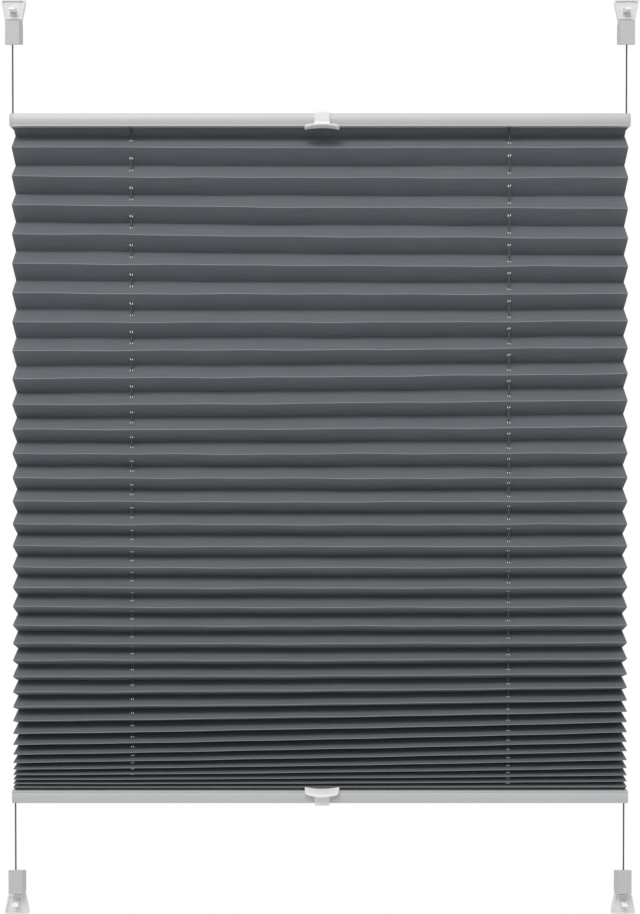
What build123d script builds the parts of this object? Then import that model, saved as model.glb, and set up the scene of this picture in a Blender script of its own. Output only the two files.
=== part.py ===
"""Clamp-fixed pleated blind: two hand-moved rails on two crossed, tensioned cords.

Frame: X along the width, Y from the room towards the window, Z up.
The origin is the middle of the sash's front face, between the four clamps,
so the sash lies behind y = 0 and the blind hangs in front of it.
Corner pieces are drawn for the top right corner and mirrored to the others;
rail pieces are drawn for the top rail and mirrored to the bottom one.
"""

import math
import os

from build123d import *

os.makedirs("parts", exist_ok=True)

# ---------------------------------------------------------------- driving sizes, mm
rail_length = 600.0  # over both end caps
rail_depth = 20.5
rail_height = 12.5
fabric_drop = 645.0  # between the facing sides of the two rails
hanging_gap = 67.4  # free cord between a rail and its shoe
rail_centre_y = -12.0  # fabric, rails and cords hang this far in front of the sash

rail_wall = 1.1
rail_bulge = 0.85  # how far the front bows out at mid height
bead_height = 1.3  # bead along the front, on the fabric side
bead_depth = 0.5
rail_corner = 1.4  # outer edges
slot_width = 11.0  # mouth that the fabric comes out of
lip_thickness = 1.2
ledge_thickness = 0.8
ledge_reach = 3.0

strip_thickness = 1.0
strip_play = 0.6  # height of its channel over its thickness
strip_side_gap = 0.7
strip_end_gap = 0.5
strip_seat = 0.05
hole_clearance = 0.35  # round the cords, in the strip and in the fabric

cap_flange = 3.2
cap_plug_length = 12.0
cap_chamfer = 0.8
fit_gap = 0.15  # plastic in the extrusion, each side

cord_diameter = 1.5
cord_clearance = 0.3
cord_gap = 1.1  # between the two cords where they cross
cord_inset = 1.0  # outer cords, in from the rail's ends
cord_run_height = 8.0  # horizontal run, above the rail's fabric side
column_inset = 115.5  # cords through the fabric, in from the rail's ends
bend_radius = 2.5
knot_radius = 1.5
knot_seat = 0.05

guide_length = 16.0
pin_end_gap = 1.25  # from the pin's end to the guide's face
pin_clearance = 0.02
pin_cord_gap = 0.1

fabric_side_gap = 1.2  # fabric is this much narrower than the rail, each side
fabric_thickness = 0.35
facet_width = 20.0  # fold to fold
facet_count = 69  # whole facets between the half ones at the rails
first_fold_drop = 5.2  # first back fold, below the top rail
last_fold_rise = 3.7  # last front fold, above the bottom rail
tight_rise = 2.1  # facet height at the bottom of the drop
rise_power = 1.63  # how the opening dies away down the drop
rise_tail = 1.22

clamp_offset = 1.7  # clamps, out from the outer cords
plate_top_width = 23.4
plate_foot_width = 16.8
plate_height = 19.1
plate_shoulder = 3.2  # straight part beside the outer edge
plate_thickness = 3.0
plate_rim = 1.0
plate_rim_width = 1.6
plate_corner = 1.6
rim_corner = 1.0
shoe_plate_gap = 5.6
window_height = 8.9
window_drop = 8.3  # below the plate's outer edge
tongue_width = 11.0
tongue_thickness = 2.0
tongue_foot = 6.0  # above the shoe's end
tongue_lap = 1.0  # over the plate
rib_neck = 4.0
rib_head = 6.5
rib_neck_depth = 1.2
rib_head_depth = 1.2
rib_gap = 0.2

pad_thickness = 1.0
pad_width = 12.6
pad_margin = 0.8

shoe_width = 14.3
shoe_shift = 2.2  # its middle, inwards from the clamp's
shoe_height = 23.7
shoe_front_cover = 2.0  # from the cords' passage to the shoe's front
shoe_wall = 1.4
shoe_undercut = 4.8  # its end face slants up by this towards the sash
shoe_corner = 1.0
shoe_edge = 0.6
spool_gap = 0.2
spool_flange = 2.0
spool_post = 2.6

strap_width = 5.8
strap_thickness = 2.2
strap_side_gap = 0.3
strap_headroom = 1.5  # in the window, above the strap
strap_overhang = 6.0  # in front of the plate's rim, left for a thicker sash
tooth_pitch = 2.0
tooth_depth = 0.5
tooth_length = 1.6
tooth_margin = 1.0  # from the strap's free end to the first tooth
tooth_stop = 4.0  # from the last tooth to the jaw's pad
pawl_width = 5.0
pawl_gap = 0.3
pawl_inset = 0.4  # in from the plate's faces
pawl_tip = 0.4
pawl_bevel = 0.8
sash_thickness = 13.0  # between the pads as drawn
jaw_width = 7.4
jaw_thickness = 2.6
jaw_reach = 8.0  # below the strap
jaw_corner = 1.2

handle_x = 2.0
stem_width = 14.6
handle_wall = 1.5
handle_gap = 0.3
handle_hook = 9.0  # over the rail's outer face
handle_toe = 1.1  # under the rail's front edge
toe_thickness = 0.8
lip_width = 33.4
lip_reach = 10.0  # beyond the stem's front
lip_side_reach = 4.5
lip_plate = 1.7
lip_foot = 2.5  # past the rail's fabric side
lip_slope = 2.4
lip_cove = 4.0
lip_corner = 2.5
lip_scoop = 1.4

overcut = 1.0  # how far a cut runs past what it cuts

# ---------------------------------------------------------------- heights and depths
rail_inner_z = fabric_drop / 2
rail_outer_z = rail_inner_z + rail_height
shoe_inner_z = rail_outer_z + hanging_gap
shoe_outer_z = shoe_inner_z + shoe_height
plate_foot_z = shoe_outer_z + shoe_plate_gap
plate_outer_z = plate_foot_z + plate_height

rail_front_y = rail_centre_y - rail_depth / 2
rail_back_y = rail_centre_y + rail_depth / 2
face_y = rail_front_y + bead_depth  # front face above the bead
inner_front_y = face_y + rail_wall
inner_back_y = rail_back_y - rail_wall
lip_top_z = rail_inner_z + lip_thickness
channel_height = strip_thickness + strip_play
ledge_z = lip_top_z + channel_height
cavity_z = ledge_z + ledge_thickness
web_z = rail_outer_z - rail_wall

run_z = rail_inner_z + cord_run_height
cord_x = rail_length / 2 - cord_inset
column_x = rail_length / 2 - column_inset
cord_radius = cord_diameter / 2
cord_spread = (cord_diameter + cord_gap) / 2  # from the rail's middle to each cord's plane
passage_width = cord_diameter + 2 * cord_clearance
passage_depth = 2 * cord_spread + passage_width

clamp_x = cord_x + clamp_offset
shoe_x = clamp_x - shoe_shift
plate_back_y = -pad_thickness
plate_front_y = plate_back_y - plate_thickness
shoe_back_y = plate_back_y - tongue_thickness - rib_gap
shoe_front_y = rail_centre_y - passage_depth / 2 - shoe_front_cover
shoe_depth = shoe_back_y - shoe_front_y
hollow_foot_z = shoe_inner_z + shoe_undercut + shoe_wall
window_width = strap_width + 2 * strap_side_gap
window_z = plate_outer_z - window_drop - window_height / 2
strap_top_z = plate_outer_z - window_drop - strap_headroom
strap_foot_z = strap_top_z - strap_thickness
strap_z = (strap_top_z + strap_foot_z) / 2


def write(piece, name):
    """Label a finished piece and write it as one STEP file."""
    piece.label = name
    export_step(piece, f"parts/{name}.step")


def write_corners(piece, name):
    """Write a top right corner piece and its mirrored copies at the other corners."""
    left = mirror(piece, about=Plane.YZ)
    for side, upper in (("right", piece), ("left", left)):
        write(upper, f"top_{side}_{name}")
        write(mirror(upper, about=Plane.XY), f"bottom_{side}_{name}")


def write_both_rails(piece, name):
    """Write a top rail piece and its mirrored copy on the bottom rail."""
    write(piece, f"top_{name}")
    write(mirror(piece, about=Plane.XY), f"bottom_{name}")


# ---------------------------------------------------------------- rails
def rail_outline():
    """Outer outline of the extrusion, in the YZ plane."""
    bead_top = rail_inner_z + bead_height
    with BuildLine() as outline:
        Polyline(
            (face_y, bead_top),
            (rail_front_y, bead_top),
            (rail_front_y, rail_inner_z),
            (rail_back_y, rail_inner_z),
            (rail_back_y, rail_outer_z - rail_corner),
        )
        RadiusArc(
            (rail_back_y, rail_outer_z - rail_corner),
            (rail_back_y - rail_corner, rail_outer_z),
            -rail_corner,
        )
        Line(
            (rail_back_y - rail_corner, rail_outer_z),
            (face_y + rail_corner, rail_outer_z),
        )
        RadiusArc(
            (face_y + rail_corner, rail_outer_z),
            (face_y, rail_outer_z - rail_corner),
            -rail_corner,
        )
        ThreePointArc(
            (face_y, rail_outer_z - rail_corner),
            (face_y - rail_bulge, (rail_outer_z - rail_corner + bead_top) / 2),
            (face_y, bead_top),
        )
    return outline.edges()


rail_cut_length = rail_length - 2 * cap_flange
cavity_width = inner_back_y - inner_front_y
cavity_y = (inner_back_y + inner_front_y) / 2

with BuildPart() as rail:
    with BuildSketch(Plane.YZ.offset(-rail_cut_length / 2)):
        make_face(rail_outline())
        with Locations((cavity_y, (cavity_z + web_z) / 2)):
            Rectangle(cavity_width, web_z - cavity_z, mode=Mode.SUBTRACT)
        with Locations((cavity_y, (lip_top_z + ledge_z) / 2)):
            Rectangle(cavity_width, channel_height, mode=Mode.SUBTRACT)
        with Locations((cavity_y, (ledge_z + cavity_z) / 2)):
            Rectangle(cavity_width - 2 * ledge_reach, ledge_thickness, mode=Mode.SUBTRACT)
        with Locations((rail_centre_y, (rail_inner_z + lip_top_z) / 2)):
            Rectangle(slot_width, lip_thickness, mode=Mode.SUBTRACT)
    extrude(amount=rail_cut_length)
write_both_rails(rail.part, "rail")

strip_length = rail_cut_length - 2 * strip_end_gap
strip_width = cavity_width - 2 * strip_side_gap
strip_hole = 2 * cord_spread + cord_diameter + 2 * hole_clearance
strip_z = lip_top_z + strip_seat
fabric_width = rail_length - 2 * fabric_side_gap

with BuildPart() as retaining_strip:
    with BuildSketch(Plane.XY.offset(strip_z)):
        with Locations((0, rail_centre_y)):
            Rectangle(strip_length, strip_width)
        with Locations((-column_x, rail_centre_y), (column_x, rail_centre_y)):
            Circle(strip_hole / 2, mode=Mode.SUBTRACT)
    extrude(amount=strip_thickness)
write_both_rails(retaining_strip.part, "retaining_strip")


def bend_path(turn_x, from_x, from_z, to_z):
    """Centre line of a cord's bend: level from from_x to turn_x, then to to_z."""
    FilletPolyline((from_x, from_z), (turn_x, from_z), (turn_x, to_z), radius=bend_radius)


plug_height = web_z - cavity_z - 2 * fit_gap
plug_z = (web_z + cavity_z) / 2
plug_width = cavity_width - 2 * fit_gap
flange_x = rail_length / 2 - cap_flange
plug_end_x = flange_x - cap_plug_length

with BuildPart() as end_cap:
    with BuildSketch(Plane.YZ.offset(flange_x)):
        make_face(rail_outline())
    extrude(amount=cap_flange)
    with BuildSketch(Plane.YZ.offset(plug_end_x)):
        with Locations((cavity_y, plug_z)):
            Rectangle(plug_width, plug_height)
    extrude(amount=cap_plug_length)
    chamfer(end_cap.faces().sort_by(Axis.X)[0].edges(), cap_chamfer)
    # the cord drops into the open end of this groove and turns inwards round its rounded edge
    with BuildSketch(Plane.XZ.offset(-rail_centre_y)):
        with BuildLine():
            bend_path(cord_x, plug_end_x - overcut, run_z, rail_outer_z + overcut)
        trace(line_width=passage_width)
    extrude(amount=passage_depth / 2, both=True, mode=Mode.SUBTRACT)
    mouth_height = rail_outer_z + overcut - run_z - bend_radius
    mouth_z = run_z + bend_radius + mouth_height / 2
    with Locations((rail_length / 2, rail_centre_y, mouth_z)):
        Box(2 * cord_inset, passage_depth, mouth_height, mode=Mode.SUBTRACT)
    # pocket that the fabric's side edge runs up into
    pocket_end_x = fabric_width / 2 + cord_clearance
    pocket_height = 2 * (lip_thickness + fit_gap)
    with Locations(((flange_x + pocket_end_x) / 2, rail_centre_y, rail_inner_z)):
        Box(pocket_end_x - flange_x, slot_width, pocket_height, mode=Mode.SUBTRACT)
for side, cap in (("right", end_cap.part), ("left", mirror(end_cap.part, about=Plane.YZ))):
    write_both_rails(cap, f"{side}_end_cap")

guide_foot_z = strip_z + strip_thickness + fit_gap
guide_foot_width = cavity_width - 2 * ledge_reach - 2 * fit_gap
guide_pin_length = plug_width - 2 * pin_end_gap
pin_radius = bend_radius - cord_radius - pin_cord_gap
pin_x = column_x - bend_radius
pin_z = run_z - bend_radius

with BuildPart() as cord_guide:
    with BuildSketch(Plane.YZ.offset(column_x - guide_length / 2)):
        with Locations((cavity_y, plug_z)):
            Rectangle(plug_width, plug_height)
        with Locations((cavity_y, (guide_foot_z + plug_z) / 2)):
            Rectangle(guide_foot_width, plug_z - guide_foot_z)
    extrude(amount=guide_length)
    with BuildSketch(Plane.XZ.offset(-rail_centre_y)):
        with BuildLine():
            bend_path(column_x, column_x - guide_length, run_z, guide_foot_z - overcut)
        trace(line_width=passage_width)
        with Locations((column_x, run_z)):
            Rectangle(guide_length + 2 * overcut, passage_width)
    extrude(amount=passage_depth / 2, both=True, mode=Mode.SUBTRACT)
    with BuildSketch(Plane.XZ.offset(-rail_centre_y)):
        with Locations((pin_x, pin_z)):
            Circle(pin_radius + pin_clearance)
    extrude(amount=guide_pin_length / 2, both=True, mode=Mode.SUBTRACT)

with BuildPart() as guide_pin:
    with BuildSketch(Plane.XZ.offset(-rail_centre_y)):
        with Locations((pin_x, pin_z)):
            Circle(pin_radius)
    extrude(amount=guide_pin_length / 2 - pin_clearance, both=True)

for side, flip in (("right", False), ("left", True)):
    for piece, name in ((cord_guide.part, "cord_guide"), (guide_pin.part, "guide_pin")):
        placed = mirror(piece, about=Plane.YZ) if flip else piece
        write_both_rails(placed, f"{side}_{name}")

# ---------------------------------------------------------------- handle, on the top rail
handle_back_y = min(rail_front_y, face_y - rail_bulge) - handle_gap
stem_front_y = handle_back_y - handle_wall
lip_tip_y = stem_front_y - lip_reach
lip_foot_z = rail_inner_z - lip_foot

with BuildPart() as handle:
    # clip: front plate, hook over the outer face and toe under the front edge
    with BuildSketch(Plane.YZ.offset(handle_x - stem_width / 2)):
        with BuildLine():
            Polyline(
                (stem_front_y, rail_inner_z + handle_wall),
                (stem_front_y, rail_outer_z + handle_gap + handle_wall),
                (face_y + handle_hook, rail_outer_z + handle_gap + handle_wall),
                (face_y + handle_hook, rail_outer_z + handle_gap),
                (handle_back_y, rail_outer_z + handle_gap),
                (handle_back_y, rail_inner_z - handle_gap),
                (rail_front_y + handle_toe, rail_inner_z - handle_gap),
                (rail_front_y + handle_toe, rail_inner_z - handle_gap - toe_thickness),
                (stem_front_y, rail_inner_z - handle_gap - toe_thickness),
                close=True,
            )
        make_face()
    extrude(amount=stem_width)
    # finger lip: a sloped plate with a cove up to the stem
    with BuildSketch(Plane.YZ.offset(handle_x - lip_width / 2)):
        with BuildLine():
            Line((handle_back_y, lip_foot_z), (lip_tip_y, lip_foot_z + lip_slope))
            Line(
                (lip_tip_y, lip_foot_z + lip_slope),
                (lip_tip_y, lip_foot_z + lip_slope + lip_plate),
            )
            Line(
                (lip_tip_y, lip_foot_z + lip_slope + lip_plate),
                (stem_front_y - lip_cove, lip_foot_z + lip_slope + lip_plate),
            )
            RadiusArc(
                (stem_front_y - lip_cove, lip_foot_z + lip_slope + lip_plate),
                (stem_front_y, lip_foot_z + lip_slope + lip_plate + lip_cove),
                -lip_cove,
            )
            Polyline(
                (stem_front_y, lip_foot_z + lip_slope + lip_plate + lip_cove),
                (handle_back_y, lip_foot_z + lip_slope + lip_plate + lip_cove),
                (handle_back_y, lip_foot_z),
            )
        make_face()
    lip = extrude(amount=lip_width, mode=Mode.PRIVATE)
    # plan of the lip: front edge bowed out, back corners square
    with BuildSketch(Plane.XY.offset(lip_foot_z), mode=Mode.PRIVATE) as lip_plan:
        with BuildLine():
            side_y = stem_front_y - lip_side_reach
            Line((handle_x - lip_width / 2, side_y), (handle_x - lip_width / 2, handle_back_y))
            Line((handle_x - lip_width / 2, handle_back_y), (handle_x + lip_width / 2, handle_back_y))
            Line((handle_x + lip_width / 2, handle_back_y), (handle_x + lip_width / 2, side_y))
            ThreePointArc(
                (handle_x + lip_width / 2, side_y),
                (handle_x, lip_tip_y),
                (handle_x - lip_width / 2, side_y),
            )
        make_face()
        fillet(lip_plan.vertices().group_by(Axis.Y)[0], lip_corner)
    add(lip & extrude(lip_plan.sketch, amount=rail_height, mode=Mode.PRIVATE))
    # shallow scoop in the lip's edge for the fingertip
    scoop_radius = (lip_width**2 / 4 + lip_scoop**2) / (2 * lip_scoop)
    with BuildSketch(Plane.XZ.offset(-handle_back_y)):
        with Locations((handle_x, lip_foot_z + lip_scoop - scoop_radius)):
            Circle(scoop_radius)
    extrude(amount=-stem_width, both=True, mode=Mode.SUBTRACT)
write_both_rails(handle.part, "handle")

# ---------------------------------------------------------------- pleated fabric
def pleat_line():
    """Fold points (y, z) from the top rail's strip down to the bottom rail's strip."""
    top = rail_inner_z - first_fold_drop
    bottom = -rail_inner_z + last_fold_rise
    down = [k / (facet_count - 1) for k in range(facet_count)]
    shape = [(1 - share**rise_power) ** rise_tail for share in down]
    spare = top - bottom - facet_count * tight_rise
    rises = [tight_rise + spare * s / sum(shape) for s in shape]
    depths = [math.sqrt(facet_width**2 - rise**2) / 2 for rise in rises]
    points = [(rail_centre_y, strip_z - strip_seat)]
    z = top
    for fold in range(facet_count + 1):
        near = depths[max(fold - 1, 0)]
        far = depths[min(fold, facet_count - 1)]
        reach = (near + far) / 2
        towards = 1 if fold % 2 == 0 else -1  # back folds first, then front folds in turn
        points.append((rail_centre_y + towards * reach, z))
        if fold < facet_count:
            z -= rises[fold]
    points.append((rail_centre_y, -strip_z + strip_seat))
    return points


def ribbon(points):
    """Room side and window side of a cloth whose folds' tips are at points."""
    room_side = []
    window_side = []
    for k, (y, z) in enumerate(points):
        above = points[max(k - 1, 0)]
        below = points[min(k + 1, len(points) - 1)]
        rise = above[1] - below[1]
        run = abs(above[0] - y) + abs(below[0] - y)
        across = fabric_thickness * math.hypot(rise, run) / rise  # level cut through the cloth
        front_fold = y < rail_centre_y
        room_side.append((y if front_fold else y - across, z))
        window_side.append((y + across if front_fold else y, z))
    return room_side, window_side


room_side, window_side = ribbon(pleat_line())

with BuildPart() as pleated_fabric:
    with BuildSketch(Plane.YZ.offset(-fabric_width / 2)):
        with BuildLine():
            Polyline(*room_side, *reversed(window_side), close=True)
        make_face()
    extrude(amount=fabric_width)
    with BuildSketch(Plane.XY.offset(-rail_inner_z - lip_thickness)):
        with Locations(
            (-column_x, rail_centre_y + cord_spread),
            (column_x, rail_centre_y - cord_spread),
        ):
            Circle(cord_radius + hole_clearance)
    extrude(amount=fabric_drop + 2 * lip_thickness, mode=Mode.SUBTRACT)
write(pleated_fabric.part, "pleated_fabric")

# ---------------------------------------------------------------- cords
knot_z = hollow_foot_z + spool_gap + spool_flange + knot_radius + knot_seat


def tension_cord(side, plane_y):
    """One cord: shoe, rail end, across the rail, down through the fabric and back out."""
    route = [
        (side * cord_x, plane_y, knot_z),
        (side * cord_x, plane_y, run_z),
        (-side * column_x, plane_y, run_z),
        (-side * column_x, plane_y, -run_z),
        (side * cord_x, plane_y, -run_z),
        (side * cord_x, plane_y, -knot_z),
    ]
    with BuildPart() as cord:
        with BuildLine() as path:
            FilletPolyline(*route, radius=bend_radius)
        with BuildSketch(Plane(origin=route[0], z_dir=(0, 0, -1))):
            Circle(cord_radius)
        sweep(path=path.line)
        with Locations(route[0], route[-1]):
            Sphere(knot_radius)
    length = path.wire().length
    tube_volume = math.pi * cord_radius**2 * length
    print("cord length", round(length, 1), "volume", cord.part.volume, "tube alone", tube_volume)
    return cord.part


write(tension_cord(-1, rail_centre_y - cord_spread), "left_tension_cord")
write(tension_cord(1, rail_centre_y + cord_spread), "right_tension_cord")

# ---------------------------------------------------------------- clamp, top right corner
tongue_foot_z = shoe_inner_z + tongue_foot


def plate_outline(inset):
    """Front outline of the clamp plate, drawn in by inset."""
    half_top = plate_top_width / 2 - inset
    half_foot = plate_foot_width / 2 - inset
    top = plate_outer_z - inset
    shoulder = plate_outer_z - plate_shoulder
    foot = plate_foot_z + inset
    with BuildLine() as outline:
        Polyline(
            (clamp_x - half_top, top),
            (clamp_x + half_top, top),
            (clamp_x + half_top, shoulder),
            (clamp_x + half_foot, foot),
            (clamp_x - half_foot, foot),
            (clamp_x - half_top, shoulder),
            close=True,
        )
    return outline.edges()


with BuildPart() as clamp_plate:
    with BuildSketch(Plane.XZ.offset(-plate_back_y)) as plate_sketch:
        make_face(plate_outline(0))
        fillet(plate_sketch.vertices().group_by(Axis.Y)[-1], plate_corner)
    extrude(amount=plate_thickness)
    with BuildSketch(Plane.XZ.offset(-plate_front_y)) as rim_sketch:
        make_face(plate_outline(0))
        fillet(rim_sketch.vertices().group_by(Axis.Y)[-1], plate_corner)
        with BuildSketch(mode=Mode.SUBTRACT) as inner_sketch:
            make_face(plate_outline(plate_rim_width))
            fillet(inner_sketch.vertices().group_by(Axis.Y)[-1], rim_corner)
    extrude(amount=plate_rim)
    # tongue behind the shoe, with the T-shaped rib that the shoe slides on
    tongue_height = plate_foot_z - tongue_foot_z + tongue_lap
    with Locations((clamp_x, plate_back_y - tongue_thickness / 2, tongue_foot_z + tongue_height / 2)):
        Box(tongue_width, tongue_thickness, tongue_height)
    rib_root_y = plate_back_y - tongue_thickness
    rib_height = shoe_outer_z - tongue_foot_z
    with BuildSketch(Plane.XY.offset(tongue_foot_z)):
        with Locations((clamp_x, rib_root_y - rib_neck_depth / 2 - rib_gap / 2)):
            Rectangle(rib_neck, rib_neck_depth + rib_gap)
        with Locations((clamp_x, rib_root_y - rib_gap - rib_neck_depth - rib_head_depth / 2)):
            Rectangle(rib_head, rib_head_depth)
    extrude(amount=rib_height)
    with BuildSketch(Plane.XZ.offset(-plate_back_y + plate_rim)):
        with Locations((clamp_x, window_z)):
            Rectangle(window_width, window_height)
    extrude(amount=-2 * plate_thickness, both=True, mode=Mode.SUBTRACT)
    # ratchet pawl, standing up from the window's sill towards the strap's teeth
    pawl_top_z = strap_foot_z - tooth_depth - pawl_gap
    pawl_foot_z = window_z - window_height / 2
    pawl_back_y = plate_back_y - pawl_inset
    pawl_front_y = plate_front_y + pawl_inset
    with BuildSketch(Plane.YZ.offset(clamp_x - pawl_width / 2)):
        with BuildLine():
            Polyline(
                (pawl_back_y, pawl_foot_z),
                (pawl_back_y, pawl_top_z - pawl_bevel),
                (pawl_back_y - pawl_bevel, pawl_top_z),
                (pawl_back_y - pawl_bevel - pawl_tip, pawl_top_z),
                (pawl_front_y, pawl_foot_z + pawl_bevel),
                (pawl_front_y, pawl_foot_z),
                close=True,
            )
        make_face()
    extrude(amount=pawl_width)
write_corners(clamp_plate.part, "clamp_plate")

pad_top_z = window_z - window_height / 2 - pad_margin
pad_foot_z = tongue_foot_z + pad_margin

with BuildPart() as front_pad:
    with BuildSketch(Plane.XZ.offset(-plate_back_y)):
        with Locations((clamp_x, (pad_top_z + plate_foot_z) / 2)):
            Rectangle(pad_width, pad_top_z - plate_foot_z)
        with Locations((clamp_x, (pad_foot_z + plate_foot_z) / 2)):
            Rectangle(tongue_width - 2 * pad_margin, plate_foot_z - pad_foot_z)
    extrude(amount=-pad_thickness)
write_corners(front_pad.part, "front_pad")

jaw_face_y = sash_thickness + pad_thickness
jaw_back_y = jaw_face_y + jaw_thickness
strap_front_y = plate_front_y - plate_rim - strap_overhang
jaw_foot_z = strap_foot_z - jaw_reach
jaw_pad_height = jaw_reach - 2 * pad_margin
tooth_count = int((jaw_face_y - tooth_stop - strap_front_y) / tooth_pitch)

with BuildPart() as clamp_hook:
    with BuildSketch(Plane.YZ.offset(clamp_x - strap_width / 2)):
        with Locations(((strap_front_y + jaw_back_y) / 2, strap_z)):
            Rectangle(jaw_back_y - strap_front_y, strap_thickness)
        for tooth in range(tooth_count):
            tooth_y = strap_front_y + tooth_margin + tooth * tooth_pitch
            with BuildLine():
                Polyline(
                    (tooth_y, strap_foot_z),
                    (tooth_y, strap_foot_z - tooth_depth),
                    (tooth_y + tooth_length, strap_foot_z),
                    close=True,
                )
            make_face()
    extrude(amount=strap_width)
    with BuildSketch(Plane.XZ.offset(-jaw_back_y)) as jaw_sketch:
        with Locations((clamp_x, (strap_top_z + jaw_foot_z) / 2)):
            Rectangle(jaw_width, strap_top_z - jaw_foot_z)
        fillet(jaw_sketch.vertices(), jaw_corner)
    extrude(amount=jaw_thickness)
write_corners(clamp_hook.part, "clamp_hook")

with BuildPart() as jaw_pad:
    with BuildSketch(Plane.XZ.offset(-jaw_face_y)):
        with Locations((clamp_x, jaw_foot_z + pad_margin + jaw_pad_height / 2)):
            Rectangle(jaw_width - 2 * pad_margin, jaw_pad_height)
    extrude(amount=pad_thickness)
write_corners(jaw_pad.part, "jaw_pad")

# ---------------------------------------------------------------- tension shoe and its spool
shoe_y = (shoe_back_y + shoe_front_y) / 2
rib_pocket_y = shoe_back_y - rib_neck_depth - rib_head_depth - 2 * rib_gap
hollow_back_y = rib_pocket_y - shoe_wall
hollow_front_y = shoe_front_y + shoe_wall
hollow_y = (hollow_back_y + hollow_front_y) / 2
hollow_depth = hollow_back_y - hollow_front_y
hollow_width = shoe_width - 2 * shoe_wall

with BuildPart() as tension_shoe:
    with BuildSketch(Plane.XY.offset(shoe_inner_z)) as shoe_sketch:
        with Locations((shoe_x, shoe_y)):
            Rectangle(shoe_width, shoe_depth)
        fillet(shoe_sketch.vertices(), shoe_corner)
    extrude(amount=shoe_height)
    with BuildSketch(Plane.YZ.offset(shoe_x)):
        with BuildLine():
            Polyline(
                (shoe_front_y, shoe_inner_z),
                (shoe_front_y, shoe_inner_z - overcut),
                (shoe_back_y + overcut, shoe_inner_z - overcut),
                (shoe_back_y + overcut, shoe_inner_z + shoe_undercut * (1 + overcut / shoe_depth)),
                close=True,
            )
        make_face()
    extrude(amount=shoe_width, both=True, mode=Mode.SUBTRACT)
    fillet(tension_shoe.faces().sort_by(Axis.Z)[0].edges(), shoe_edge)
    with BuildSketch(Plane.XY.offset(hollow_foot_z)):
        with Locations((shoe_x, hollow_y)):
            Rectangle(hollow_width, hollow_depth)
    extrude(amount=shoe_height, mode=Mode.SUBTRACT)
    with BuildSketch(Plane.XY.offset(tongue_foot_z - rib_gap)):
        with Locations((clamp_x, shoe_back_y - rib_neck_depth / 2)):
            Rectangle(rib_neck + 2 * rib_gap, rib_neck_depth + 2 * rib_gap)
        with Locations((clamp_x, (shoe_back_y - rib_neck_depth + rib_gap + rib_pocket_y) / 2)):
            Rectangle(
                rib_head + 2 * rib_gap,
                shoe_back_y - rib_neck_depth + rib_gap - rib_pocket_y,
            )
    extrude(amount=shoe_height, mode=Mode.SUBTRACT)
    with BuildSketch(Plane.XY.offset(shoe_inner_z - overcut)):
        with Locations((cord_x, rail_centre_y)):
            Rectangle(passage_width, passage_depth)
    extrude(amount=shoe_undercut + shoe_wall + 2 * overcut, mode=Mode.SUBTRACT)
write_corners(tension_shoe.part, "tension_shoe")

spool_width = hollow_width - 2 * spool_gap
spool_depth = hollow_depth - 2 * spool_gap
spool_foot_z = hollow_foot_z + spool_gap
spool_height = shoe_outer_z - spool_foot_z - spool_gap

with BuildPart() as cord_spool:
    with Locations((shoe_x, hollow_y, spool_foot_z + spool_height / 2)):
        Box(spool_width, spool_depth, spool_height)
        Box(
            spool_width - 2 * spool_post,
            spool_depth,
            spool_height - 2 * spool_flange,
            mode=Mode.SUBTRACT,
        )
    with Locations((cord_x, rail_centre_y, spool_foot_z + spool_flange / 2)):
        Box(passage_width, passage_depth, spool_flange + overcut, mode=Mode.SUBTRACT)
write_corners(cord_spool.part, "cord_spool")
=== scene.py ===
import math

import bmesh
import bpy
import numpy as np
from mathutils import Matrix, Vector

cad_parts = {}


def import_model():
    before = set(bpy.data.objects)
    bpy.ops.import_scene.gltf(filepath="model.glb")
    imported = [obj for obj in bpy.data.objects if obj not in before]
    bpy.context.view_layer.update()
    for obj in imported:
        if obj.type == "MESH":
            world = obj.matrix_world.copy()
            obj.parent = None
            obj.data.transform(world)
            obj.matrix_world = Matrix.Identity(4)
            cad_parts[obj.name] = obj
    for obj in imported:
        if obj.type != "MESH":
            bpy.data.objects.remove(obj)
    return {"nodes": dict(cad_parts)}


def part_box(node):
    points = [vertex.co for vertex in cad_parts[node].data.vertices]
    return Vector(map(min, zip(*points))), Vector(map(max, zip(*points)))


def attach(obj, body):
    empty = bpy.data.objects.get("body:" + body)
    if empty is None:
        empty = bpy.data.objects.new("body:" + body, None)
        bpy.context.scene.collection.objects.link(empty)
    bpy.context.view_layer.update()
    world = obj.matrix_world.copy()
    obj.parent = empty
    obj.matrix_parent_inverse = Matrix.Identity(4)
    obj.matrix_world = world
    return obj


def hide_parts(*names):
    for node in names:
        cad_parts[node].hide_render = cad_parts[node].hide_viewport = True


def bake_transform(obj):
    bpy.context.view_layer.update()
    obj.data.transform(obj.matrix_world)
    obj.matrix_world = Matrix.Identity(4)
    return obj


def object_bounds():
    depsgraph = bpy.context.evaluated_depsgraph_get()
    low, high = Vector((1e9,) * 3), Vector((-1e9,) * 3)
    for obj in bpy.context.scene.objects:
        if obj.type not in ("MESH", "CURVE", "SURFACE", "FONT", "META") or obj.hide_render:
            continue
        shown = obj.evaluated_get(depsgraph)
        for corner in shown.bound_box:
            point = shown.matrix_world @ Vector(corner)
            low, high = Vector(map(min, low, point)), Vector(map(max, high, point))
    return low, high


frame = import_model()
cad_low, cad_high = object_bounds()

MM = 0.001

# ---------------------------------------------------------------- places read from the frame
RAIL_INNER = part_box("top_rail")[0].z  # the rails' facing sides lie this far above and below the origin
RAIL_Y = -12 * MM  # middle of rails, fabric and cords
CLOTH_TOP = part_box("pleated_fabric")[1].z
CLOTH_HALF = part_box("pleated_fabric")[1].x


# ---------------------------------------------------------------- materials
def new_material(name):
    """A material with a Principled shader, and short helpers for its nodes."""
    material = bpy.data.materials.new(name)
    material.use_nodes = True
    return material, material.node_tree, material.node_tree.nodes["Principled BSDF"]


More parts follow.
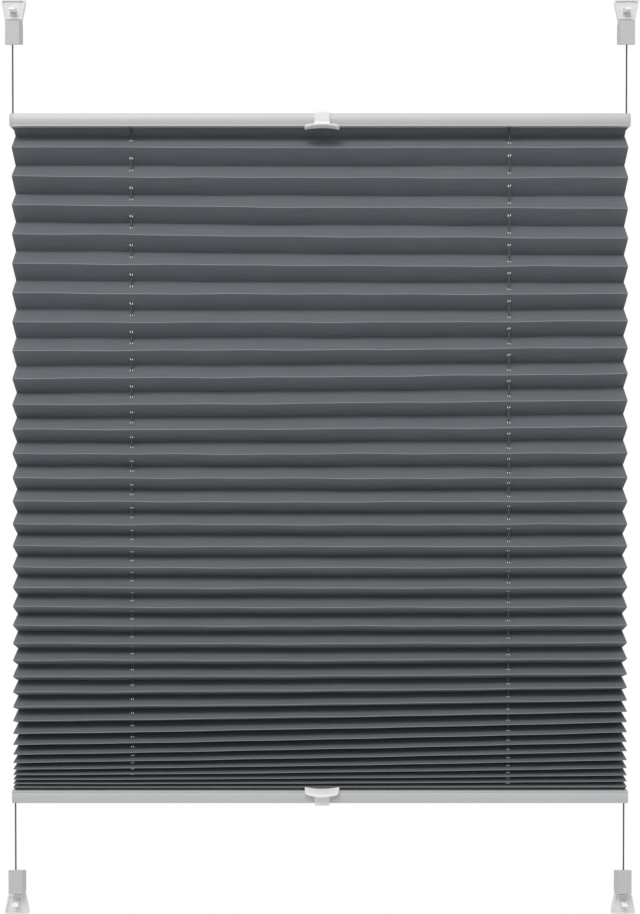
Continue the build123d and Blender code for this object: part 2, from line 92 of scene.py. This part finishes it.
def node(tree, kind, inputs=None, **settings):
    """A shader node with its settings and its plain or linked inputs."""
    made = tree.nodes.new(kind)
    for key, value in settings.items():
        setattr(made, key, value)
    for key, value in (inputs or {}).items():
        if isinstance(value, bpy.types.NodeSocket):
            tree.links.new(value, made.inputs[key])
        else:
            made.inputs[key].default_value = value
    return made


def coordinates(tree, scale=(1, 1, 1), source="Object"):
    """Object or UV coordinates in metres, stretched by scale."""
    found = node(tree, "ShaderNodeTexCoord").outputs[source]
    return node(tree, "ShaderNodeMapping", {"Vector": found, "Scale": scale}).outputs["Vector"]


def noise(tree, vector, scale, detail=3.0, roughness=0.5):
    """Noise from 0 to 1."""
    return node(
        tree,
        "ShaderNodeTexNoise",
        {"Vector": vector, "Scale": scale, "Detail": detail, "Roughness": roughness},
    ).outputs["Fac"]


def spread(tree, value, low, high, start=0.0, end=1.0):
    """value from start to end, mapped to low to high."""
    return node(
        tree,
        "ShaderNodeMapRange",
        {"Value": value, "From Min": start, "From Max": end, "To Min": low, "To Max": high},
    ).outputs["Result"]


def mix(tree, share, first, second):
    """Two colours mixed by share."""
    made = node(tree, "ShaderNodeMix", data_type="RGBA")
    for key, value in ((0, share), (6, first), (7, second)):
        if isinstance(value, bpy.types.NodeSocket):
            tree.links.new(value, made.inputs[key])
        else:
            made.inputs[key].default_value = value
    return made.outputs[2]


def grey(value, blue=0.0):
    """A grey, slightly towards blue, as a colour."""
    return (value * (1 - blue), value, value * (1 + blue), 1)


def anodised(name):
    """Satin anodised extrusion: fine draw lines along its length."""
    material, tree, shader = new_material(name)
    lines = noise(tree, coordinates(tree, (3, 1400, 1400)), 1.0, 2.0)
    cloud = noise(tree, coordinates(tree, (8, 60, 60)), 1.0, 3.0)
    colour = mix(tree, cloud, grey(0.52, 0.012), grey(0.58, 0.008))
    tree.links.new(mix(tree, spread(tree, lines, 0, 0.35), colour, grey(0.44)), shader.inputs["Base Color"])
    tree.links.new(spread(tree, lines, 0.52, 0.64), shader.inputs["Roughness"])
    shader.inputs["Metallic"].default_value = 0.25
    bump = node(tree, "ShaderNodeBump", {"Height": lines, "Strength": 0.12, "Distance": 0.00005})
    tree.links.new(bump.outputs["Normal"], shader.inputs["Normal"])
    return material


def moulded(name, value, roughness=0.42, blue=0.0, edge=0.00025, grain=0.3, translucent=0.0):
    """Moulded plastic: fine eroded grain, faint cloudiness and slightly rounded edges."""
    material, tree, shader = new_material(name)
    cloud = noise(tree, coordinates(tree), 180.0, 3.0)
    fine = noise(tree, coordinates(tree), 3800.0, 2.0)
    colour = mix(tree, cloud, grey(value * 0.95, blue), grey(value * 1.04, blue))
    tree.links.new(colour, shader.inputs["Base Color"])
    tree.links.new(spread(tree, fine, roughness - 0.06, roughness + 0.08), shader.inputs["Roughness"])
    shader.inputs["Subsurface Weight"].default_value = translucent
    shader.inputs["Subsurface Radius"].default_value = (1, 1, 1)
    shader.inputs["Subsurface Scale"].default_value = 1.5 * MM
    rounded = node(tree, "ShaderNodeBevel", {"Radius": edge}, samples=4)
    bump = node(
        tree,
        "ShaderNodeBump",
        {"Height": fine, "Strength": grain, "Distance": 0.00003, "Normal": rounded.outputs["Normal"]},
    )
    tree.links.new(bump.outputs["Normal"], shader.inputs["Normal"])
    return material


def foam(name):
    """Soft pad: open cells with a matt skin."""
    material, tree, shader = new_material(name)
    cells = node(
        tree, "ShaderNodeTexVoronoi", {"Vector": coordinates(tree), "Scale": 2200.0}
    ).outputs["Distance"]
    tree.links.new(mix(tree, cells, grey(0.50), grey(0.62)), shader.inputs["Base Color"])
    shader.inputs["Roughness"].default_value = 0.9
    bump = node(tree, "ShaderNodeBump", {"Height": cells, "Strength": 0.5, "Distance": 0.0001})
    tree.links.new(bump.outputs["Normal"], shader.inputs["Normal"])
    return material


def ground_steel(name):
    """Ground steel pin: fine rings round its axis."""
    material, tree, shader = new_material(name)
    rings = noise(tree, coordinates(tree, (1, 6000, 1)), 1.0, 2.0)
    tree.links.new(mix(tree, rings, grey(0.42), grey(0.56)), shader.inputs["Base Color"])
    tree.links.new(spread(tree, rings, 0.2, 0.35), shader.inputs["Roughness"])
    shader.inputs["Metallic"].default_value = 1.0
    return material


def braided(name):
    """Braided cord: two sets of strands crossing, drawn along the cord's own coordinates."""
    material, tree, shader = new_material(name)
    laid = node(tree, "ShaderNodeTexCoord").outputs["UV"]
    heights = []
    for turn in (1, -1):
        split = node(tree, "ShaderNodeSeparateXYZ", {"Vector": laid})
        along = node(
            tree,
            "ShaderNodeMath",
            {0: split.outputs["Y"], 1: 1 / BRAID_PITCH},
            operation="MULTIPLY",
        ).outputs[0]
        around = node(
            tree, "ShaderNodeMath", {0: split.outputs["X"], 1: 4.0 * turn}, operation="MULTIPLY"
        ).outputs[0]
        phase = node(tree, "ShaderNodeMath", {0: along, 1: around}, operation="ADD").outputs[0]
        turned = node(
            tree, "ShaderNodeMath", {0: phase, 1: 2 * math.pi}, operation="MULTIPLY"
        ).outputs[0]
        heights.append(node(tree, "ShaderNodeMath", {0: turned}, operation="SINE").outputs[0])
    strands = node(
        tree, "ShaderNodeMath", {0: heights[0], 1: heights[1]}, operation="MAXIMUM"
    ).outputs[0]
    shade = spread(tree, strands, 0.0, 1.0, -0.4, 1.0)
    tree.links.new(mix(tree, shade, grey(0.03, 0.04), grey(0.10, 0.04)), shader.inputs["Base Color"])
    shader.inputs["Roughness"].default_value = 0.7
    shader.inputs["Sheen Weight"].default_value = 0.2
    bump = node(tree, "ShaderNodeBump", {"Height": shade, "Strength": 0.6, "Distance": 0.00012})
    tree.links.new(bump.outputs["Normal"], shader.inputs["Normal"])
    return material


def woven(name):
    """Pleated polyester: a fine plain weave, slubs along the weft and a painted highlight along each front
    fold.
    """
    material, tree, shader = new_material(name)
    laid = node(tree, "ShaderNodeTexCoord").outputs["UV"]
    split = node(tree, "ShaderNodeSeparateXYZ", {"Vector": laid})
    waves = []
    for axis in ("X", "Y"):
        turned = node(
            tree,
            "ShaderNodeMath",
            {0: split.outputs[axis], 1: 2 * math.pi / THREAD_PITCH},
            operation="MULTIPLY",
        ).outputs[0]
        waves.append(node(tree, "ShaderNodeMath", {0: turned}, operation="SINE").outputs[0])
    weave = node(tree, "ShaderNodeMath", {0: waves[0], 1: waves[1]}, operation="MULTIPLY").outputs[0]
    slub_at = node(tree, "ShaderNodeMapping", {"Vector": laid, "Scale": (28, 1500, 1)}).outputs["Vector"]
    slubs = noise(tree, slub_at, 1.0, 2.0)
    cloud_at = node(tree, "ShaderNodeMapping", {"Vector": laid, "Scale": (14, 26, 1)}).outputs["Vector"]
    cloud = noise(tree, cloud_at, 1.0, 3.0)
    cloth = mix(tree, cloud, CLOTH_DARK, CLOTH_LIGHT)
    threaded = mix(tree, spread(tree, slubs, 0, 0.5, 0.35, 0.8), cloth, grey(0.185, 0.08))
    # painted highlight: the crest mask lightens the cloth along each front fold, where the fold catches the
    # key light
    fold = node(tree, "ShaderNodeAttribute", attribute_name="crest_highlight").outputs["Fac"]
    highlighted = mix(tree, fold, threaded, CLOTH_CREST_HIGHLIGHT)
    tree.links.new(highlighted, shader.inputs["Base Color"])
    shader.inputs["Roughness"].default_value = 0.85
    shader.inputs["Specular IOR Level"].default_value = 0.25
    shader.inputs["Sheen Weight"].default_value = 0.12
    shader.inputs["Sheen Roughness"].default_value = 0.5
    height = node(tree, "ShaderNodeMath", {0: weave, 1: slubs}, operation="ADD").outputs[0]
    bump = node(tree, "ShaderNodeBump", {"Height": height, "Strength": 0.25, "Distance": 0.00006})
    tree.links.new(bump.outputs["Normal"], shader.inputs["Normal"])
    return material


BRAID_PITCH = 1.5 * MM
THREAD_PITCH = 0.42 * MM
CLOTH_DARK = (0.106, 0.119, 0.134, 1)
CLOTH_LIGHT = (0.127, 0.142, 0.157, 1)
# colour of the painted highlight along the front folds
CLOTH_CREST_HIGHLIGHT = (0.30, 0.322, 0.345, 1)

FINISHES = {
    "rail": anodised("rail_aluminium"),
    "retaining_strip": moulded("strip_plastic", 0.52),
    "handle": moulded("handle_plastic", 0.80, roughness=0.42, translucent=0.4),
    "end_cap": moulded("cap_plastic", 0.50, roughness=0.5),
    "cord_guide": moulded("guide_plastic", 0.6),
    "guide_pin": ground_steel("pin_steel"),
    "clamp_plate": moulded("clamp_plastic", 0.74, roughness=0.42, translucent=0.3),
    "clamp_hook": moulded("hook_plastic", 0.90, roughness=0.42, translucent=0.3),
    "front_pad": foam("pad_foam"),
    "jaw_pad": foam("jaw_foam"),
    "tension_shoe": moulded("shoe_plastic", 0.51, roughness=0.5),
    "cord_spool": moulded("spool_plastic", 0.6),
}
CORD = braided("cord_braid")
CLOTH = woven("pleated_cloth")

for name, cad in frame["nodes"].items():
    kind = next((k for k in FINISHES if name.endswith(k)), None)
    if kind is None:
        continue
    cad.data.materials.clear()
    cad.data.materials.append(FINISHES[kind])


# ---------------------------------------------------------------- mesh helper
def mesh_object(name, points, faces, material, uvs=None, smooth=True):
    """A mesh object from points and faces, with one UV pair for each point."""
    mesh = bpy.data.meshes.new(name)
    mesh.from_pydata([tuple(p) for p in points], [], faces)
    mesh.validate()
    if uvs is not None:
        layer = mesh.uv_layers.new(name="cloth")
        of_corner = np.zeros(len(mesh.loops), np.int32)
        mesh.loops.foreach_get("vertex_index", of_corner)
        layer.uv.foreach_set("vector", np.asarray(uvs, np.float32)[of_corner].ravel())
    mesh.polygons.foreach_set("use_smooth", [smooth] * len(mesh.polygons))
    mesh.materials.append(material)
    made = bpy.data.objects.new(name, mesh)
    bpy.context.scene.collection.objects.link(made)
    return made


# ---------------------------------------------------------------- pleated fabric
FACET = 20 * MM  # fold to fold
FACETS = 69  # whole facets between the short ones at the rails
FIRST_DROP = 5.2 * MM  # first back fold, below the top rail
LAST_RISE = 3.7 * MM  # last front fold, above the bottom rail
TIGHT_RISE = 2.1 * MM  # facet height at the bottom of the drop
RISE_POWER = 1.63
RISE_TAIL = 1.22
CLOTH_THICKNESS = 0.35 * MM
HOLE = 1.5 * MM  # radius; worn a little wider than it was punched
COLUMN_X = 184.5 * MM
CORD_SPREAD = 1.3 * MM
STILL_FOLD = 23  # the cloth is split into its upper and lower pieces at this fold
# The cloth leans a little: (fold, folds either side, how much higher its right edge is than its left).
LEANS = ((7, 3.4, -4.4 * MM), (18, 4.0, 5.0 * MM), (56, 9.0, 12.6 * MM))
SAG = 0.8 * MM
WAVE = 0.25 * MM
ACROSS_STEPS = 96
FACET_STEPS = 4
CREST_HIGHLIGHT_REACH = 1.0 * MM  # width of the painted highlight along a front fold
FOLD_NOSE = 0.16 * MM  # a fold is pressed to about this radius
FACET_BOW = 0.12 * MM  # how far a facet's middle bows
SHARP_FOLD = math.radians(40)


def fold_heights():
    """Heights of the folds along the middle of the cloth, from the top one down."""
    top = RAIL_INNER - FIRST_DROP
    bottom = -RAIL_INNER + LAST_RISE
    shape = [(1 - (k / (FACETS - 1)) ** RISE_POWER) ** RISE_TAIL for k in range(FACETS)]
    spare = top - bottom - FACETS * TIGHT_RISE
    heights = [top]
    for share in shape:
        heights.append(heights[-1] - TIGHT_RISE - spare * share / sum(shape))
    return np.array(heights)


def across_lines():
    """Where the grid's upright lines lie, with three close lines at each column of holes."""
    lines = list(np.linspace(-CLOTH_HALF, CLOTH_HALF, ACROSS_STEPS + 1))
    ring = 2 * HOLE
    for x in (-COLUMN_X, COLUMN_X):
        lines = [v for v in lines if abs(v - x) > 2.2 * ring]
        lines += [x - ring, x, x + ring]
    return np.array(sorted(lines))


def fold_lines(xs):
    """(y, z) of every fold, rail seats included, at each of xs: arrays of folds by xs."""
    rng = np.random.default_rng(7)
    middle = fold_heights()
    folds = len(middle)
    index = np.arange(folds)
    lean = sum(high * np.exp(-(((index - at) / wide) ** 2)) for at, wide, high in LEANS)
    held = 1 - np.exp(-np.minimum(index + 1, folds - index) / 1.6)
    held[-1] = 0.35
    side = xs / (2 * CLOTH_HALF)
    sag = SAG * (1 - (xs / CLOTH_HALF) ** 2)
    heights = middle[:, None] + (lean * held)[:, None] * side - held[:, None] * sag
    spacing = np.gradient(-middle)
    loose = np.minimum(1, spacing / (10 * MM))[:, None]
    for length in (0.31, 0.17, 0.09):
        phase = rng.uniform(0, 2 * math.pi, (folds, 1))
        size = rng.uniform(0.4, 1.0, (folds, 1)) * WAVE * loose
        heights += size * held[:, None] * np.sin(2 * math.pi * xs / length + phase)
    rises = heights[:-1] - heights[1:]
    depths = np.sqrt(np.maximum(FACET**2 - rises**2, (0.3 * FACET) ** 2)) / 2
    near = np.vstack([depths[:1], depths])
    far = np.vstack([depths, depths[-1:]])
    towards = np.where(index % 2 == 0, 1, -1)[:, None]  # back folds first, then front ones in turn
    drift = WAVE * 0.6 * np.sin(2 * math.pi * xs / 0.23 + rng.uniform(0, 2 * math.pi, (folds, 1)))
    ys = RAIL_Y + towards * (near + far) / 2 + drift * held[:, None]
    seat = np.full((1, len(xs)), RAIL_Y)
    ys = np.vstack([seat, ys, seat])
    heights = np.vstack([seat * 0 + CLOTH_TOP, heights, seat * 0 - CLOTH_TOP])
    return ys, heights


def cloth_grid():
    """Rows of points down the cloth: places, distance along it, fold number and the painted crest highlight.
    """
    xs = across_lines()
    ys, zs = fold_lines(xs)
    rows = []
    laid = 0.0
    for k in range(len(ys) - 1):
        length = np.sqrt((ys[k + 1] - ys[k]) ** 2 + (zs[k + 1] - zs[k]) ** 2)
        size = float(length.mean())
        first, last = k == 0, k == len(ys) - 2
        sign = 1 if k % 2 else -1  # the facet's middle bows by this way
        start = 0.0 if first else FOLD_NOSE / size
        stop = 1.0 if last else 1 - FOLD_NOSE / size
        holed = not (first or last)
        shares = list(np.linspace(start, stop, FACET_STEPS + 1))
        if k % 2 and not last:
            shares = sorted(shares + [1 - CREST_HIGHLIGHT_REACH / size])
        if holed:
            ring = 2 * HOLE / size
            shares = [s for s in shares if abs(s - 0.5) > 1.6 * ring]
            shares = sorted(shares + [0.5 - ring, 0.5, 0.5 + ring])
        for share in shares:
            bow = FACET_BOW * math.sin(math.pi * share) * sign
            y = ys[k] + (ys[k + 1] - ys[k]) * share
            z = zs[k] + (zs[k + 1] - zs[k]) * share + bow
            # painted highlight: rises from 0 to 1 over the last stretch before a front fold
            front = 0.0
            if k % 2 and not last:  # this facet ends in a front fold
                front = 1 - (1 - share) * size / CREST_HIGHLIGHT_REACH
            rows.append(
                {
                    "y": y,
                    "z": z,
                    "laid": laid + size * share,
                    "fold": k - 1 + share,
                    "crest_highlight": max(0.0, front),
                    "facet": k,
                    "middle": holed and abs(share - 0.5) < 1e-9,
                }
            )
        laid += size
    return xs, rows


def cloth_piece(name, xs, rows):
    """One stretch of the cloth as a closed thin sheet with its cord holes."""
    points = []
    uvs = []
    crest_highlight = []
    fold = []
    for row in rows:
        for i, x in enumerate(xs):
            points.append((x, row["y"][i], row["z"][i]))
            uvs.append((x, row["laid"]))
            crest_highlight.append(row["crest_highlight"])
            fold.append(row["fold"])
    wide = len(xs)
    holed = {}
    columns = {int(np.argmin(abs(xs - x))): side for x, side in ((-COLUMN_X, 1), (COLUMN_X, -1))}
    for r, row in enumerate(rows):
        if not row["middle"] or not 0 < r < len(rows) - 1:
            continue
        for c, side in columns.items():
            ring = []
            centre_x, centre_y = xs[c], RAIL_Y + side * CORD_SPREAD
            for turn in range(8):
                angle = math.pi / 4 * turn - 3 * math.pi / 4
                x = centre_x + HOLE * math.cos(angle)
                y = centre_y + HOLE * math.sin(angle)
                above, below = rows[r - 1], rows[r + 1]
                share = (y - above["y"][c]) / (below["y"][c] - above["y"][c])
                z = above["z"][c] + (below["z"][c] - above["z"][c]) * share
                ring.append(len(points))
                points.append((x, y, z))
                uvs.append((x, above["laid"] + (below["laid"] - above["laid"]) * share))
                crest_highlight.append(0.0)
                fold.append(above["fold"] + (below["fold"] - above["fold"]) * share)
            holed[(r, c)] = ring
    faces = []
    for r in range(len(rows) - 1):
        for c in range(wide - 1):
            if any((a, b) in holed for a in (r, r + 1) for b in (c, c + 1)):
                continue
            here = r * wide + c
            faces.append((here, here + wide, here + wide + 1, here + 1))
    for (r, c), ring in holed.items():
        at = r * wide + c
        outer = [
            at - wide - 1, at - wide, at - wide + 1, at + 1, at + wide + 1, at + wide, at + wide - 1, at - 1
        ]
        # the ring starts at low x, low y: the row above lies at low or high y by the facet's lean
        if rows[r - 1]["y"][c] > rows[r + 1]["y"][c]:
            outer = [outer[6], outer[5], outer[4], outer[3], outer[2], outer[1], outer[0], outer[7]]
        for k in range(8):
            n = (k + 1) % 8
            faces.append((outer[k], outer[n], ring[n], ring[k]))
    made = mesh_object(name, points, faces, CLOTH, uvs)
    # the crest attribute carries the painted highlight mask
    for key, values in (("crest_highlight", crest_highlight), ("fold", fold)):
        made.data.attributes.new(key, "FLOAT", "POINT").data.foreach_set("value", values)
    bpy.context.view_layer.objects.active = made
    bpy.ops.object.select_all(action="DESELECT")
    made.select_set(True)
    bpy.ops.object.mode_set(mode="EDIT")
    bpy.ops.mesh.select_all(action="SELECT")
    bpy.ops.mesh.delete_loose()
    bpy.ops.mesh.select_all(action="SELECT")
    bpy.ops.mesh.normals_make_consistent(inside=False)
    bpy.ops.object.mode_set(mode="OBJECT")
    thick = made.modifiers.new("thickness", "SOLIDIFY")
    thick.thickness = CLOTH_THICKNESS
    thick.offset = 0.0
    bpy.ops.object.modifier_apply(modifier=thick.name)
    made.data.set_sharp_from_angle(angle=SHARP_FOLD)
    return made


def closing_weights(made, moving_first):
    """Picks the folds of the piece's stretch and reads each point's fold number; it sets no weights."""
    low, high = (-1, STILL_FOLD) if moving_first else (STILL_FOLD, FACETS + 1)
    middle = fold_heights()
    ends = np.concatenate([[RAIL_INNER], middle, [-RAIL_INNER]])
    numbers = np.arange(-1, FACETS + 2)
    chosen = (numbers >= low) & (numbers <= high)
    ends, numbers = ends[chosen], numbers[chosen]
    fold = np.zeros(len(made.data.vertices), np.float32)
    made.data.attributes["fold"].data.foreach_get("value", fold)


across, cloth_rows = cloth_grid()
still_row = min(
    (r for r, row in enumerate(cloth_rows) if row["facet"] == STILL_FOLD + 1),
    key=lambda r: cloth_rows[r]["fold"],
)
upper_cloth = cloth_piece("fabric_upper", across, cloth_rows[: still_row + 1])
lower_cloth = cloth_piece("fabric_lower", across, cloth_rows[still_row:])
still_z = float(np.mean(cloth_rows[still_row]["z"]))
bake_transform(upper_cloth)
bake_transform(lower_cloth)
closing_weights(upper_cloth, True)
closing_weights(lower_cloth, False)
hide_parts("pleated_fabric")

# ---------------------------------------------------------------- handles
HANDLE_X = 2.0 * MM
STEM_HALF = 7.3 * MM
LIP_HALF = 16.7 * MM
LIP_MIDDLE_REACH = 9.6 * MM  # in front of the stem
LIP_END_REACH = 5.4 * MM
LIP_THICKNESS = 1.7 * MM
LIP_CURL = 1.7 * MM  # how far its ends turn towards the fabric
LIP_FLARE = {"top": 1.2, "bottom": 0.25}  # how much thicker its ends are
LIP_SLOPE = {"top": 0.2 * MM, "bottom": 3.8 * MM}  # the upper lip lies flatter
# Round the lip's section: (share of its reach, share of its thickness).
LIP_SECTION = (
    (0, 0), (0.35, 0), (0.7, 0), (0.94, 0.12), (1, 0.5), (0.94, 0.9), (0.7, 1), (0.35, 1), (0, 1)
)
CLIP_WALL = 1.5 * MM
CLIP_HOOK = 9.0 * MM
CLIP_GAP = 0.3 * MM  # between the clip and the rail
CLIP_TOE = 1.2 * MM  # reaches back under the rail's edge
TOE_THICKNESS = 0.8 * MM


def shell(bm, rows):
    """Quads between rows of points, each row a closed ring, with both ends filled."""
    rings = [[bm.verts.new(p) for p in row] for row in rows]
    for first, second in zip(rings[:-1], rings[1:]):
        for a in range(len(first)):
            b = (a + 1) % len(first)
            bm.faces.new((first[a], first[b], second[b], second[a]))
    bm.faces.new(rings[0][::-1])
    bm.faces.new(rings[-1])


def lip_ring(across, back_y, front_y, foot_z, slope, flare):
    """Section of the finger lip at a share of its half width, from -1 to 1."""
    end = min(1.0, abs(across))
    corner = math.sqrt(max(0.0, 1 - max(0.0, (end - 0.80) / 0.20) ** 2.4))
    reach = LIP_END_REACH + (LIP_MIDDLE_REACH - LIP_END_REACH) * (1 - end**2)
    tip_y = front_y - reach * max(corner, 0.35)
    curl = -LIP_CURL * end**2.2
    x = HANDLE_X + across * LIP_HALF
    section = []
    for share, side in LIP_SECTION:
        y = back_y + (tip_y - back_y) * share
        dish = 0.5 * MM * math.sin(math.pi * min(share, 1)) * (1 - end)
        swell = 1 + flare * end**2.2
        z = foot_z + curl + slope * share - dish + LIP_THICKNESS * swell * side
        section.append((x, y, z))
    return section


def handle(end):
    """Clip with a smooth, curled finger lip; drawn for the top rail and mirrored for the bottom one."""
    low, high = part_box(f"{end}_handle")
    outer, inner = (high.z, low.z) if end == "top" else (-low.z, -high.z)
    rail_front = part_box(f"{end}_rail")[0].y
    back_y = rail_front - CLIP_GAP
    front_y = back_y - CLIP_WALL
    under = RAIL_INNER - CLIP_GAP
    profile = [
        (front_y, under - TOE_THICKNESS),
        (front_y, outer - 0.5 * MM),
        (front_y + 0.5 * MM, outer),
        (front_y + CLIP_HOOK, outer),
        (front_y + CLIP_HOOK, outer - CLIP_WALL),
        (back_y, outer - CLIP_WALL),
        (back_y, under),
        (back_y + CLIP_TOE, under),
        (back_y + CLIP_TOE, under - TOE_THICKNESS),
    ]
    bm = bmesh.new()
    shell(bm, [[(HANDLE_X + side * STEM_HALF, y, z) for y, z in profile] for side in (-1, -0.97, 0.97, 1)])
    places = [-1, -0.985, -0.95, -0.88, -0.78, -0.6, -0.4, -0.2, 0, 0.2, 0.4, 0.6, 0.78, 0.88, 0.95, 0.985, 1]
    shell(bm, [lip_ring(u, back_y, front_y, inner, LIP_SLOPE[end], LIP_FLARE[end]) for u in places])
    # web that flows from the lip up to the stem
    web = [
        (front_y + 0.4 * MM, inner + 1.0 * MM),
        (front_y - 5.0 * MM, inner + 2.6 * MM),
        (front_y - 1.6 * MM, inner + 4.2 * MM),
        (front_y - 0.2 * MM, inner + 6.6 * MM),
        (front_y + 0.4 * MM, inner + 7.6 * MM),
    ]
    shell(bm, [[(HANDLE_X + side * STEM_HALF, y, z) for y, z in web] for side in (-1.02, -0.96, 0.96, 1.02)])
    if end == "bottom":
        bmesh.ops.scale(bm, vec=(1, 1, -1), verts=bm.verts)
    bmesh.ops.recalc_face_normals(bm, faces=bm.faces)
    mesh = bpy.data.meshes.new(f"{end}_handle_moulding")
    bm.to_mesh(mesh)
    bm.free()
    made = bpy.data.objects.new(mesh.name, mesh)
    bpy.context.scene.collection.objects.link(made)
    mesh.materials.append(FINISHES["handle"])
    mesh.polygons.foreach_set("use_smooth", [True] * len(mesh.polygons))
    round_off = made.modifiers.new("edges", "BEVEL")
    round_off.width = 0.35 * MM
    round_off.segments = 3
    round_off.angle_limit = math.radians(50)
    made.modifiers.new("smooth", "SUBSURF").levels = 1
    made.modifiers["smooth"].render_levels = 2
    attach(made, f"{end}_handle")
    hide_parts(f"{end}_handle")


for rail_end in ("top", "bottom"):
    handle(rail_end)

# ---------------------------------------------------------------- cords
CORD_RADIUS = 0.75 * MM
CORD_X = 299 * MM
BEND = 2.5 * MM
RUN_Z = RAIL_INNER + 8 * MM  # height of the cord's run inside the rail
KNOT_RADIUS = 1.5 * MM
KNOT_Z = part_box("left_tension_cord")[1].z - KNOT_RADIUS
CORD_SIDES = 14


def tube(name, path, knot=0.0):
    """A round tube along path, with an optional knot on its first end."""
    path = [Vector(p) for p in path]
    points = []
    uvs = []
    laid = 0.0
    stations = []
    for i, here in enumerate(path):
        ahead = path[min(i + 1, len(path) - 1)] - path[max(i - 1, 0)]
        laid += (here - path[max(i - 1, 0)]).length
        stations.append((here, ahead.normalized(), laid, CORD_RADIUS))
    if knot:
        start, along = path[0], (path[1] - path[0]).normalized()
        lumps = []
        for step in range(9):
            angle = math.pi * step / 8
            lumps.append(
                (
                    start - along * knot * math.cos(angle) * 0.95,
                    along,
                    -knot + knot * step / 4,
                    max(knot * math.sin(angle), 0.06 * MM) if step < 8 else CORD_RADIUS,
                )
            )
        stations = lumps + stations[1:]
    for here, along, at, radius in stations:
        flat = Vector((0, 1, 0))
        other = along.cross(flat).normalized()
        for side in range(CORD_SIDES + 1):
            angle = 2 * math.pi * side / CORD_SIDES
            points.append(here + (flat * math.cos(angle) + other * math.sin(angle)) * radius)
            uvs.append((side / CORD_SIDES, at))
    wide = CORD_SIDES + 1
    faces = [
        (r * wide + s, r * wide + s + 1, (r + 1) * wide + s + 1, (r + 1) * wide + s)
        for r in range(len(stations) - 1)
        for s in range(CORD_SIDES)
    ]
    faces.append(tuple(range(CORD_SIDES))[::-1])
    last = (len(stations) - 1) * wide
    faces.append(tuple(last + s for s in range(CORD_SIDES)))
    return mesh_object(name, points, faces, CORD, uvs)


def quarter(centre, first, last, steps=6):
    """Points of a quarter turn in the XZ plane, from the angle first to last, in degrees."""
    return [
        (
            centre[0] + BEND * math.cos(math.radians(a)),
            centre[1],
            centre[2] + BEND * math.sin(math.radians(a)),
        )
        for a in np.linspace(first, last, steps + 1)
    ]


def straight(start, end, steps):
    """Evenly spaced points from start to end."""
    start, end = np.array(start), np.array(end)
    return [tuple(start + (end - start) * t) for t in np.linspace(0, 1, steps + 1)]


def tension_cord(name, side, plane_y):
    """One cord in six stretches: two outside the blind, two in the rails and two through the fabric."""
    for end, sign in (("top", 1), ("bottom", -1)):
        bend_z = sign * (RUN_Z + BEND)
        column_z = sign * (RUN_Z - BEND)
        outer = tube(
            f"{name}_{end}_outer",
            straight((side * CORD_X, plane_y, sign * KNOT_Z), (side * CORD_X, plane_y, bend_z), 10),
            knot=KNOT_RADIUS,
        )
        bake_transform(outer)
        even_weights(outer)
        run = quarter((0, plane_y, RUN_Z + BEND), 0, -90)
        run = [(side * (CORD_X - BEND + x), y, sign * z) for x, y, z in run]
        inside = quarter((0, plane_y, RUN_Z - BEND), 90, 0)
        inside = [(-side * (COLUMN_X - BEND + x), y, sign * z) for x, y, z in inside]
        rail_part = tube(f"{name}_{end}_run", run + inside)
        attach(rail_part, f"{end}_rail")
        column = tube(
            f"{name}_{end}_column",
            straight((-side * COLUMN_X, plane_y, column_z), (-side * COLUMN_X, plane_y, still_z), 24),
        )
        if sign > 0:
            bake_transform(column)
            even_weights(column)
        else:
            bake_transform(column)
            even_weights(column)
        if sign > 0:
            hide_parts(name)


def even_weights(made):
    """Reads the piece's point positions; it sets no weights."""
    co = np.zeros(len(made.data.vertices) * 3, np.float32)
    made.data.vertices.foreach_get("co", co)


tension_cord("left_tension_cord", -1, RAIL_Y - CORD_SPREAD)
tension_cord("right_tension_cord", 1, RAIL_Y + CORD_SPREAD)


# ---------------------------------------------------------------- floor, light and camera
def stage():
    """A plain pale floor below the blind."""
    bpy.ops.mesh.primitive_plane_add(size=6, location=(0, 0, cad_low.z - 1.75))
    floor = bpy.context.object
    floor.name = "floor"
    material, _, shader = new_material("floor_pale")
    shader.inputs["Base Color"].default_value = (0.97, 0.97, 0.97, 1)
    shader.inputs["Roughness"].default_value = 0.9
    floor.data.materials.append(material)


def soft_light(name, place, target, size, power):
    """An area light at place, turned to target."""
    data = bpy.data.lights.new(name, "AREA")
    data.shape = "RECTANGLE"
    data.size, data.size_y = size
    data.energy = power
    made = bpy.data.objects.new(name, data)
    made.location = place
    made.rotation_euler = (Vector(target) - Vector(place)).to_track_quat("-Z", "Y").to_euler()
    bpy.context.scene.collection.objects.link(made)


def world(below, above):
    """A white studio: bright behind the blind, softer in front, and a little stronger from above."""
    made = bpy.data.worlds.new("studio")
    made.use_nodes = True
    tree = made.node_tree
    background = tree.nodes["Background"]
    background.inputs["Color"].default_value = (1, 1, 1, 1)
    towards = node(tree, "ShaderNodeTexCoord").outputs["Generated"]
    split = node(tree, "ShaderNodeSeparateXYZ", {"Vector": towards})
    ambient = spread(tree, split.outputs["Z"], below, above, -1.0, 1.0)
    behind = spread(tree, split.outputs["Y"], 0.0, 1.0, 0.25, 0.8)
    missing = node(tree, "ShaderNodeMath", {0: 1.0, 1: ambient}, operation="SUBTRACT").outputs[0]
    strength = node(tree, "ShaderNodeMath", {0: missing, 1: behind, 2: ambient}, operation="MULTIPLY_ADD")
    tree.links.new(strength.outputs[0], background.inputs["Strength"])
    bpy.context.scene.world = made


stage()
world(0.34, 0.76)
soft_light("key", (-1.0, -3.8, 4.2), (0, 0, 0), (3.2, 2.0), 182)

bpy.context.scene.view_settings.view_transform = "Standard"

camera_data = bpy.data.cameras.new("camera")
camera_data.sensor_width = 36
camera_data.lens = 42.66
camera = bpy.data.objects.new("camera", camera_data)
camera.location = (0, -1.0723, 0.01735)
camera.rotation_euler = (math.radians(90 - 0.8), 0, 0)
bpy.context.scene.collection.objects.link(camera)
bpy.context.scene.camera = camera
